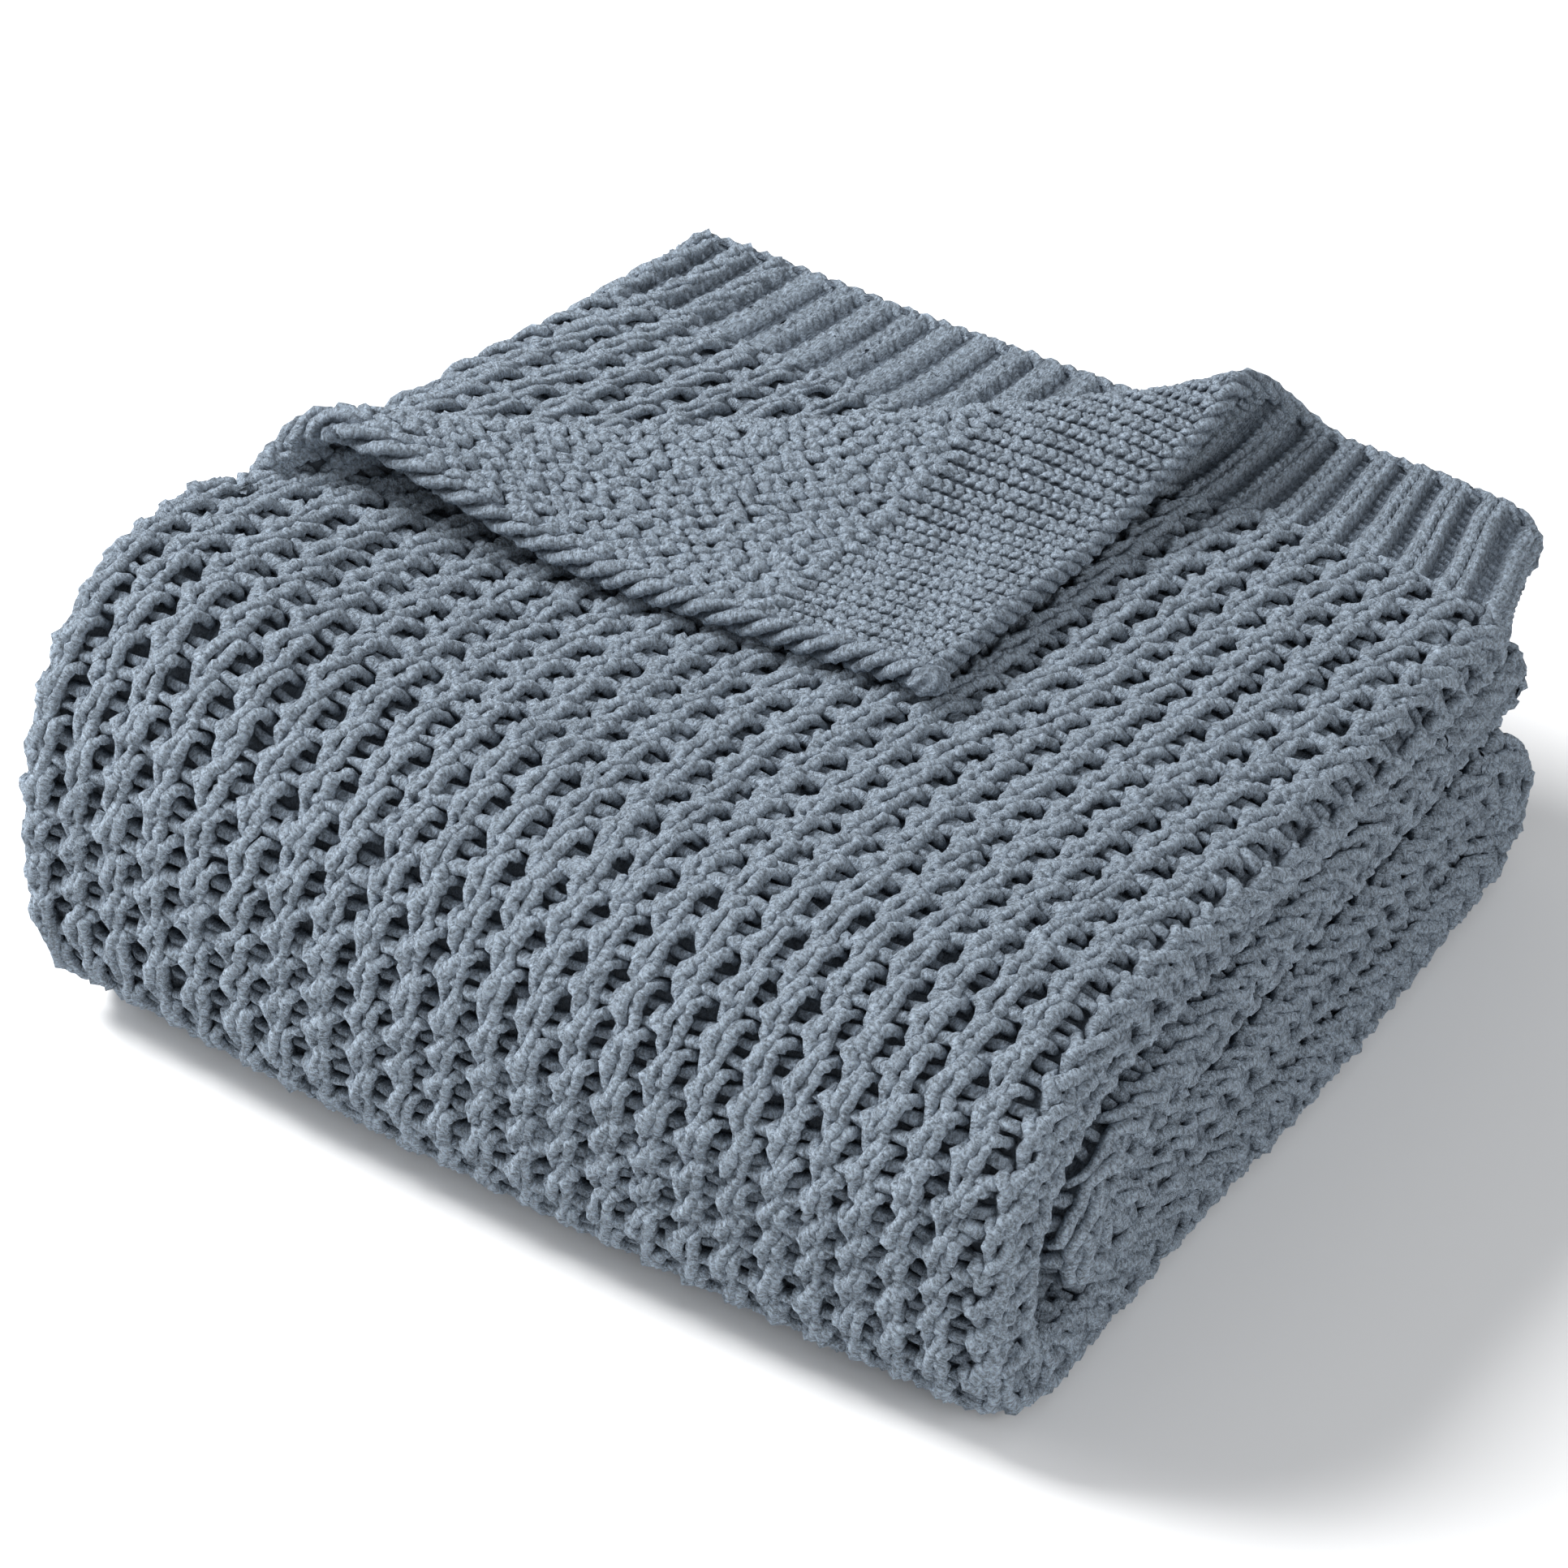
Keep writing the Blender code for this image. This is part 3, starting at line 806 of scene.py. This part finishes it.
def leg_yarns(wales, stitches, pitch, start, table, samples, ring, seed, spread, keep_where):
    """Legs of the stitches on the reverse: two for each stitch of each upright row of stitches."""
    path = smooth_path(table, samples)
    wale, stitch = np.meshgrid(np.arange(*wales), np.arange(*stitches), indexing="ij")
    wale = wale.reshape(-1, 1)
    stitch = stitch.reshape(-1, 1)
    sets = []
    for number, sign in enumerate((-1.0, 1.0)):
        kind = seed + 5 * number
        cu = 0.25 + 0.5 * wale + sign * path[:, 0] * (1.0 + spread * cell_noise(wale, stitch, kind))
        along = stitch + path[:, 1] + spread * cell_noise(wale, stitch, kind + 1) + 0.25 * number
        u = cu * CELL
        v = start + along * pitch
        wave = 0.02 * CELL * noise(u, v, 0.03, SEED_BACK_WAVE)
        u = u - 0.035 * CELL * noise(u, v, 0.012, SEED_BACK_U) - wave
        v = v - 0.050 * CELL * noise(u, v, 0.010, SEED_BACK_V)
        height = path[:, 2] + 0.0012 * spread * cell_noise(wale, stitch, kind + 2)
        radius = CELL * path[:, 3] * (1.0 + 0.3 * spread * cell_noise(wale, stitch, kind + 3))
        sets.append(yarns(u, v, height, radius, ring, -1.0, keep_where))
    return sets


def fold_share(u, v):
    """Over 0 on the turned corner and under 0 on what stays, as a share of the corner's reach."""
    slide_at, slides = zip(*SLIDES)
    slid = u + smooth_table(v, slide_at, slides)
    return 1.0 - slid / TURNED_HEM - v / TURNED_SIDE


def ground_cloth():
    """The thin closed ground of the knit, from edge to edge, that carries all the stitches."""
    us = stations(ACROSS, GROUND_STEP, GROUND_BEND_STEP)
    vs = stations(ALONG, GROUND_STEP, GROUND_BEND_STEP)
    u, _, centre, _, _, normal = frames(us, vs)
    upper = centre + SHIFT + normal * (GROUND_LEVEL + 0.5 * GROUND_THICKNESS)
    lower = centre + SHIFT + normal * (GROUND_LEVEL - 0.5 * GROUND_THICKNESS)
    ids, quads = grid_quads(*u.shape)
    count = u.size
    rim = np.concatenate((ids[0, :], ids[1:, -1], ids[-1, -2::-1], ids[-2:0:-1, 0]))
    after = np.roll(rim, -1)
    sides = np.stack((rim, rim + count, after + count, after), -1)
    faces = np.concatenate((quads, quads[:, ::-1] + count, sides))
    points = np.concatenate((upper.reshape(-1, 3), lower.reshape(-1, 3)))
    mesh = bpy.data.meshes.new("ground_cloth")
    mesh.from_pydata(points.tolist(), [], faces.tolist())
    mesh.validate()
    mesh.shade_smooth()
    # Painted shade: the ground takes the darkest tone, as it shows only deep in the gaps between the
    # stitches
    paint_shade_by_depth(mesh, np.zeros(2 * count))
    return in_scene("ground_cloth", mesh)


def edge_core(name, points_of, span, thickness, width):
    """The rounded edge of the cloth under its edge yarns, following one of its borders."""
    step, level = 0.003, -0.0008
    vs = steps_over(span, step, 4)
    centre, out, normal = points_of(vs)
    turn, v = np.meshgrid(np.linspace(-1.4, 1.4, 11), vs, indexing="ij")
    angle = turn * 0.5 * math.pi
    bumps = lumps(v, turn * 0.006, 0.00040, 0.00025)
    along_normal = level + (0.5 * thickness + bumps) * np.sin(angle)
    along_out = (width + bumps) * np.cos(angle)
    points = centre + normal * along_normal[..., None] + out * along_out[..., None]
    # Painted shade: the core has one darkish tone, as it lies under the edge yarns
    return quad_mesh(name, points + SHIFT, v, turn * 0.01, np.full(v.shape, EDGE_CORE_SHADE))


def edge_yarns(name, points_of, span, step, pitch, reach, radius, place):
    """Yarns that wind along an edge of the cloth, as the last loops of the knit do."""
    count, ring = 3, 6
    number = np.arange(count)[:, None]
    vs = steps_over(span, step, 4)
    centre, out, normal = points_of(vs)
    wobble = 0.35 * noise(vs, 0.0, 0.021, SEED_EDGE_WIND)
    wind = 2.0 * math.pi * (vs / pitch) + wobble + 2.0 * math.pi * number / count
    along_out = place[0] + reach[0] * np.cos(wind)
    along_normal = place[1] + reach[1] * np.sin(wind)
    axis = centre + SHIFT + out * along_out[..., None] + normal * along_normal[..., None]
    away = out * np.cos(wind)[..., None] + normal * np.sin(wind)[..., None]
    thick = radius * (1.0 + 0.08 * noise(vs + 0.3 * number, 0.0, 0.008, SEED_EDGE_SIZE))
    height = np.full(wind.shape, 0.5 * radius)
    keep = np.ones(wind.shape, bool)
    winding = tubes(axis, away, thick, ring, height, keep, EDGE_ROUGHNESS)
    return yarn_mesh(name, [winding], (-0.6 * radius, 1.6 * radius))


def side_edge(u_edge, outward):
    """Places, outward direction and face normal along a side edge of the cloth."""
    def at(vs):
        us = u_edge + outward * np.array((-0.002, 0.0, 0.001))
        _, _, centre, across, _, normal = frames(np.sort(us), vs)
        return centre[1], outward * across[1], normal[1]
    return at


def hem_edge(v_edge, outward):
    """Places, outward direction and face normal along a hem's edge."""
    def at(us):
        vs = v_edge + outward * np.array((-0.002, 0.0, 0.001))
        _, _, centre, _, along, normal = frames(us, np.sort(vs))
        return centre[:, 1], outward * along[:, 1], normal[:, 1]
    return at


def corner_knot(name, u, v, place, size):
    """A small fluffy knot where the last yarn is tied off at a corner of the cloth."""
    around = np.array((-0.001, 0.0, 0.001))
    _, _, centre, across, along, normal = frames(u + around, v + around)
    turns = np.linspace(0.0, 2.0 * math.pi, 41)
    rises = np.linspace(-0.5 * math.pi, 0.5 * math.pi, 21)
    turn, rise = np.meshgrid(turns, rises, indexing="ij")
    level = np.cos(rise)
    ball = np.stack((np.cos(turn) * level, np.sin(turn) * level, np.sin(rise)), -1)
    uneven = noise(np.cos(turn) * level * 0.01, rise * 0.01, 0.0025, SEED_CORNER_KNOT)
    wrap = 1.0 + 0.10 * np.cos(5.0 * turn + 4.0 * rise) * level + 0.05 * uneven
    points = ball * wrap[..., None] * np.array(size) + np.array(place)
    directions = np.stack((across[1, 1], along[1, 1], normal[1, 1]))
    points = points @ directions + centre[1, 1] + SHIFT
    # Painted shade: darker in the dips between the knot's wraps, lighter on them
    shade_tone = np.clip(0.75 + 2.0 * (wrap - 1.0), 0.0, 1.0)
    return quad_mesh(name, points, turn * 0.01, rise * 0.01, shade_tone)


def noise_node(nodes, scale, detail, roughness):
    """A noise texture."""
    node = nodes.new("ShaderNodeTexNoise")
    node.inputs["Scale"].default_value = scale
    node.inputs["Detail"].default_value = detail
    node.inputs["Roughness"].default_value = roughness
    return node


def colour_with_painted_shade(nodes, links):
    """Slate blue, with painted shade that darkens it deep between the stitches."""
    painted_shade = nodes.new("ShaderNodeVertexColor")
    painted_shade.layer_name = "painted_shade"
    ramp = nodes.new("ShaderNodeValToRGB")
    # The ramp's low end is the painted shade of the deepest places; its high end is the yarn's own
    # slate blue
    shaded_end, high = ramp.color_ramp.elements
    shaded_end.position = 0.0
    shaded_end.color = (0.068, 0.086, 0.113, 1.0)
    high.position = 0.92
    high.color = (0.400, 0.478, 0.568, 1.0)
    between = ramp.color_ramp.elements.new(0.42)
    between.color = (0.148, 0.186, 0.237, 1.0)
    links.new(painted_shade.outputs["Color"], ramp.inputs["Fac"])
    return ramp.outputs["Color"]


def pile_height(nodes, links):
    """The pile: short streaks round each yarn and a fine fuzz on them."""
    wrap = nodes.new("ShaderNodeUVMap")
    wrap.uv_map = "cloth"
    stretch = nodes.new("ShaderNodeMapping")
    stretch.inputs["Scale"].default_value = (1150.0, 420.0, 1.0)
    streaks = noise_node(nodes, 1.0, 2.0, 0.6)
    links.new(wrap.outputs["UV"], stretch.inputs["Vector"])
    links.new(stretch.outputs["Vector"], streaks.inputs["Vector"])
    place = nodes.new("ShaderNodeTexCoord")
    fuzz = noise_node(nodes, 520.0, 4.0, 0.80)
    links.new(place.outputs["Object"], fuzz.inputs["Vector"])
    both = nodes.new("ShaderNodeMath")
    both.operation = "MULTIPLY_ADD"
    both.inputs[1].default_value = 0.60
    links.new(streaks.outputs["Fac"], both.inputs[0])
    links.new(fuzz.outputs["Fac"], both.inputs[2])
    return both.outputs["Value"]


def with_pile_shade_and_highlight(nodes, links, colour, pile):
    """A colour with painted highlight on the tips of the pile and painted shade between them, in step
    with its bump.
    """
    # Painted shade and highlight: the colour is scaled from 0.52 to 2.10 times with the height of the
    # pile
    pile_shade = nodes.new("ShaderNodeMapRange")
    for socket, value in (("From Min", 0.64), ("From Max", 0.96), ("To Min", 0.52), ("To Max", 2.10)):
        pile_shade.inputs[socket].default_value = value
    links.new(pile, pile_shade.inputs["Value"])
    mix = nodes.new("ShaderNodeMix")
    mix.data_type = "RGBA"
    mix.blend_type = "MULTIPLY"
    mix.inputs["Factor"].default_value = 1.0
    links.new(colour, mix.inputs[6])
    links.new(pile_shade.outputs["Result"], mix.inputs[7])
    return mix.outputs[2]


def knit_material():
    """Velvety slate blue yarn: painted shade and highlight on the pile, painted shade deep between the
    stitches, fuzzy bump.
    """
    material = bpy.data.materials.new("chenille_yarn")
    material.use_nodes = True
    nodes = material.node_tree.nodes
    links = material.node_tree.links
    shader = nodes["Principled BSDF"]
    shader.inputs["Roughness"].default_value = 0.92
    shader.inputs["Specular IOR Level"].default_value = 0.15
    shader.inputs["Sheen Weight"].default_value = 0.28
    shader.inputs["Sheen Roughness"].default_value = 0.45
    shader.inputs["Sheen Tint"].default_value = (0.72, 0.82, 0.95, 1.0)
    pile = pile_height(nodes, links)
    colour = with_pile_shade_and_highlight(nodes, links, colour_with_painted_shade(nodes, links), pile)
    links.new(colour, shader.inputs["Base Color"])
    bump = nodes.new("ShaderNodeBump")
    bump.inputs["Strength"].default_value = 1.0
    bump.inputs["Distance"].default_value = 0.0120
    links.new(pile, bump.inputs["Height"])
    links.new(bump.outputs["Normal"], shader.inputs["Normal"])
    return material


# Lengths across the cloth of what shows round the folds at its right and left
ROUND_RIGHT = (OUTER_END, RIGHT_BIGHT_END + 0.018)
ROUND_LEFT = (LEFT_BIGHT_START - 0.022, LEFT_BIGHT_END + 0.022)
# Shares of the corner's reach at which the layers on both sides of its fold line end
TOP_KEPT_TO = 0.22
FLAP_KEPT_FROM = -0.06
# The corner of the second layer that lies open: how far it goes across and along
OPEN_ACROSS = 0.370
OPEN_ALONG = 0.320
BELOW_END = 0.33
# What is knitted of the turned corner: lengths, and rows and columns of stitches
FLAP_LENGTHS = (0.36, 0.31)
FLAP_WALES = (0, 40)
FLAP_LOOSE_ROWS = (0, 34)
# The band of a hem that can be seen into from behind, and where it starts on the top layer
HEM_BAND = 0.034
HEM_BAND_START = 0.30


def keep_top(u, v):
    """What stays of the top layer beside its turned corner."""
    return fold_share(u, v) < TOP_KEPT_TO


def on_flap(u, v):
    """The turned corner."""
    return fold_share(u, v) > FLAP_KEPT_FROM


def seen_below(u, v):
    """The part of the second layer that the turned corner lays open."""
    return (u - LEFT_BIGHT_END) / OPEN_ACROSS + v / OPEN_ALONG < 1.0


def top_and_front():
    """The outer layer's face, from the hem over the top and down the front."""
    columns = (0, math.ceil(OUTER_END / CELL))
    span = (0.0, OUTER_END + SEAM)
    hem_span = (-PAST_EDGE, span[1])
    hem = (-PAST_EDGE, HEM_END)
    top = (HEM_END, TOP_SPLIT + SEAM)
    front = (TOP_SPLIT, BOTTOM_AT + SEAM)
    bottom = (BOTTOM_AT, BACK_BIGHT_START)
    back = (BACK_BIGHT_START, BACK_BIGHT_END + SEAM)
    return [
        knit_patch("hem_top", hem_span, hem, FINE, face_height, 1.0, keep_top),
        knit_patch("bed_top", span, top, BED_STEP, face_height, 1.0, keep_top),
        knit_patch("bed_front", span, front, BED_STEP, face_height),
        waffle_yarns("yarns_top", columns, (WAFFLE_START, TOP_SPLIT), 8, 6, 2, keep_top),
        waffle_yarns("yarns_front", columns, (TOP_SPLIT, BOTTOM_AT), 6, 6, 2),
        knit_patch("bed_bottom", span, bottom, BED_STEP, face_height),
        knit_patch("bed_back", span, back, BED_STEP, face_height),
        waffle_yarns("yarns_back", columns, (BACK_BIGHT_START, BACK_BIGHT_END), 5, 5, 1),
    ]


def turned_corner_pieces():
    """The reverse of the turned corner, and the layer below that it lays open."""
    rib_pitch = CELL / STITCHES
    rib_rows = (0, round(RIB_LENGTH / rib_pitch))
    rib = leg_yarns(FLAP_WALES, rib_rows, rib_pitch, 0.0, RIB_LEG, 1, 6, SEED_RIB_LEG, 0.12, on_flap)
    loose = leg_yarns(FLAP_WALES, FLAP_LOOSE_ROWS, CELL / LOOSE_STITCHES, RIB_LENGTH, WAFFLE_LEG, 2, 6,
                      SEED_WAFFLE_LEG, 0.30, on_flap)
    flap_span, flap_rows = ((-PAST_EDGE, length) for length in FLAP_LENGTHS)
    below = (LEFT_BIGHT_END - 0.001, CLOTH_WIDTH)
    columns = (math.floor(LEFT_BIGHT_END / CELL), math.ceil(CLOTH_WIDTH / CELL))
    return [
        knit_patch("flap_bed", flap_span, flap_rows, 0.0026, back_bed, -1.0, on_flap),
        yarn_mesh("flap_rib_yarns", rib, BACK_SHADE_SPAN),
        yarn_mesh("flap_waffle_yarns", loose, BACK_SHADE_SPAN),
        knit_patch("bed_below_flap", below, (0.0, BELOW_END), 0.0028, face_height, 1.0, seen_below),
        waffle_yarns("yarns_below_flap", columns, (WAFFLE_START, BELOW_END), 6, 5, 1, seen_below),
    ]


def right_pieces():
    """The folds at the right, round the outside of the stack and inside it."""
    columns = (math.ceil(ROUND_RIGHT[0] / CELL), math.ceil(ROUND_RIGHT[1] / CELL))
    inner_columns = (columns[0] - 1, columns[1])
    inner_span = (OUTER_END - 0.02, ROUND_RIGHT[1])
    inner = (BACK_BIGHT_END, CLOTH_LENGTH)
    outer = (HEM_END, BACK_BIGHT_END + SEAM)
    return [
        knit_patch("hem_right_outer", ROUND_RIGHT, (-PAST_EDGE, HEM_END), 0.0013, face_height),
        knit_patch("bed_right_outer", ROUND_RIGHT, outer, 0.0028, face_height),
        hem_ropes("hem_ropes_right", columns, (-0.001, RIB_LENGTH)),
        hem_ropes("inner_hem_ropes_right", columns, (SECOND_HEM, CLOTH_LENGTH)),
        waffle_yarns("yarns_right_outer", columns, (WAFFLE_START, BACK_BIGHT_END), 7, 6, 2),
        knit_patch("bed_right_inner", inner_span, inner, 0.0026, face_height),
        waffle_yarns("yarns_right_inner", inner_columns, (BACK_BIGHT_END, SECOND_HEM), 5, 5, 1),
    ]


def left_pieces():
    """The fold at the left, and the cloth's side that shows between the folds at the right."""
    columns = (math.floor(ROUND_LEFT[0] / CELL), math.ceil(ROUND_LEFT[1] / CELL))
    second = (SECOND_HEM, CLOTH_LENGTH + PAST_EDGE)
    inner = (BACK_BIGHT_END, CLOTH_LENGTH)
    return [
        knit_patch("hem_left_bight", ROUND_LEFT, (-PAST_EDGE, HEM_END), 0.0016, face_height),
        knit_patch("bed_left_bight", ROUND_LEFT, (HEM_END, SECOND_HEM), 0.0032, face_height),
        knit_patch("inner_hem_left_bight", ROUND_LEFT, second, 0.0018, face_height),
        hem_ropes("hem_ropes_left", columns, (-0.001, RIB_LENGTH)),
        hem_ropes("inner_hem_ropes_left", columns, (SECOND_HEM, CLOTH_LENGTH)),
        waffle_yarns("yarns_left_bight", columns, (WAFFLE_START, SECOND_HEM), 4, 5, 1),
        knit_patch("stitches_inner_side", (0.0, 0.035), inner, 0.0026, face_height),
        knit_patch("reverse_inner_side", (0.0, 0.030), (0.24, CLOTH_LENGTH), 0.0028, back_height, -1.0),
    ]


def hem_pieces():
    """Bands of the ribbed hems that show at the back of the stack, on both sides of the cloth."""
    first = (0.0, HEM_BAND)
    second = (CLOTH_LENGTH - HEM_BAND, CLOTH_LENGTH)
    inner_layers = ((RIGHT_BIGHT_END, LEFT_BIGHT_START), (LEFT_BIGHT_END, CLOTH_WIDTH))
    pieces = []
    for number, layer in enumerate(((HEM_BAND_START, OUTER_END), *inner_layers)):
        pieces.append(knit_patch(f"reverse_hem_{number}", layer, first, HEM_STEP, back_height, -1.0))
        if number > 0:
            pieces.append(knit_patch(f"face_hem_{number}", layer, first, HEM_STEP, face_height))
    for number, layer in enumerate(((0.0, OUTER_END), *inner_layers)):
        pieces.append(knit_patch(f"inner_face_hem_{number}", layer, second, HEM_STEP, face_height))
        reverse = knit_patch(f"inner_reverse_hem_{number}", layer, second, HEM_STEP, back_height, -1.0)
        pieces.append(reverse)
    return pieces


def edge_pieces():
    """The edges of the cloth: a rounded core each, with yarns that wind along it."""
    side = side_edge(0.0, -1.0)
    hem = hem_edge(0.0, -1.0)
    inner_hem = hem_edge(CLOTH_LENGTH, 1.0)
    cores = (
        # name, edge, its span, thickness and width of the core
        ("side", side, (-0.002, CLOTH_LENGTH), 0.0104, 0.0034),
        ("hem", hem, (-0.002, CLOTH_WIDTH), 0.0098, 0.0026),
        ("inner_hem", inner_hem, (0.0, CLOTH_WIDTH), 0.0098, 0.0026),
    )
    windings = (
        # step, length of one turn, reach outwards and to the face, radius, middle of the winding
        (0.0022, 0.032, (0.0030, 0.0036), 0.0031, (0.0010, -0.0006)),
        (0.0021, 0.028, (0.0016, 0.0032), 0.0026, (0.0010, -0.0008)),
        (0.0024, 0.022, (0.0020, 0.0034), 0.0025, (0.0010, -0.0008)),
    )
    pieces = []
    for (name, edge, span, *core), winding in zip(cores, windings):
        pieces.append(edge_core("edge_core_" + name, edge, span, *core))
        pieces.append(edge_yarns("edge_yarns_" + name, edge, span, *winding))
    knot_at, knot_size = (-0.0025, -0.0025, -0.0006), (0.0070, 0.0068, 0.0058)
    return [*pieces, corner_knot("corner_knot", 0.0, 0.0, knot_at, knot_size)]


def make_throw():
    """The ground cloth and every area of stitches on it."""
    pieces = [*top_and_front(), *turned_corner_pieces(), *right_pieces(), *left_pieces()]
    pieces += [*hem_pieces(), *edge_pieces()]
    ground = ground_cloth()
    material = knit_material()
    for piece in [ground, *pieces]:
        piece.data.materials.append(material)
        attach(piece, "root")
    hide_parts("throw")


# The camera, as the photograph has it: a frame 1932 pixels wide, a focal length of 6000 pixels
FRAME_PIXELS = 1932.0
FOCAL_PIXELS = 6000.0
SENSOR = 36.0
CAMERA_AZIMUTH = 32.5
CAMERA_ELEVATION = 39.0
CAMERA_PLACE = (0.7814, -1.2344, 1.2549)


def make_camera():
    """A camera with the photograph's place, direction and lens."""
    data = bpy.data.cameras.new("camera")
    data.sensor_width = SENSOR
    data.lens = SENSOR * FOCAL_PIXELS / FRAME_PIXELS
    data.clip_end = 50.0
    camera = in_scene("camera", data)
    a = math.radians(CAMERA_AZIMUTH)
    e = math.radians(CAMERA_ELEVATION)
    right = Vector((math.cos(a), math.sin(a), 0.0))
    back = Vector((math.sin(a) * math.cos(e), -math.cos(a) * math.cos(e), math.sin(e)))
    up = back.cross(right)
    turn = Matrix((right, up, back)).transposed()
    camera.matrix_world = Matrix.Translation(CAMERA_PLACE) @ turn.to_4x4()
    bpy.context.scene.camera = camera


def area_light(name, place, target, size, power):
    """A soft square light that looks at a place."""
    data = bpy.data.lights.new(name, "AREA")
    data.size = size
    data.energy = power
    light = in_scene(name, data)
    light.location = place
    light.rotation_euler = (Vector(target) - Vector(place)).to_track_quat("-Z", "Y").to_euler()


# Soft lights from the upper left and front, and a weaker one from the right
LIGHTS = (
    # name, place, size, power
    ("key", (-2.0, -0.4, 2.1), 1.0, 114.0),
    ("front_fill", (0.9, -2.4, 1.3), 1.8, 3.0),
    ("left_fill", (-2.2, -0.9, 0.9), 1.2, 26.0),
    ("right_fill", (2.6, -0.2, 1.3), 1.6, 34.0),
)
LIGHTS_LOOK_AT = (0.0, 0.0, 0.1)
SURROUND_STRENGTH = 0.36
FLOOR_REACH = 8.0
FLOOR_GREY = 0.92
FLOOR_LEVEL = -0.0005


def make_floor():
    """A plain pale floor, a hair under the cloth."""
    r = FLOOR_REACH
    mesh = bpy.data.meshes.new("floor")
    mesh.from_pydata([(-r, -r, 0), (r, -r, 0), (r, r, 0), (-r, r, 0)], [], [(0, 1, 2, 3)])
    floor = in_scene("floor", mesh)
    floor.location.z = FLOOR_LEVEL
    material = bpy.data.materials.new("pale_floor")
    material.use_nodes = True
    shader = material.node_tree.nodes["Principled BSDF"]
    shader.inputs["Base Color"].default_value = (FLOOR_GREY, FLOOR_GREY, FLOOR_GREY, 1.0)
    shader.inputs["Roughness"].default_value = 0.9
    mesh.materials.append(material)


def make_studio():
    """The floor, a pale surround and the lights."""
    make_floor()
    world = bpy.data.worlds.new("studio")
    world.use_nodes = True
    surround = world.node_tree.nodes["Background"]
    surround.inputs["Color"].default_value = (0.95, 0.97, 1.0, 1.0)
    surround.inputs["Strength"].default_value = SURROUND_STRENGTH
    bpy.context.scene.world = world
    for name, place, size, power in LIGHTS:
        area_light(name, place, LIGHTS_LOOK_AT, size, power)
    bpy.context.scene.view_settings.view_transform = "Standard"


make_camera()
make_studio()
make_throw()
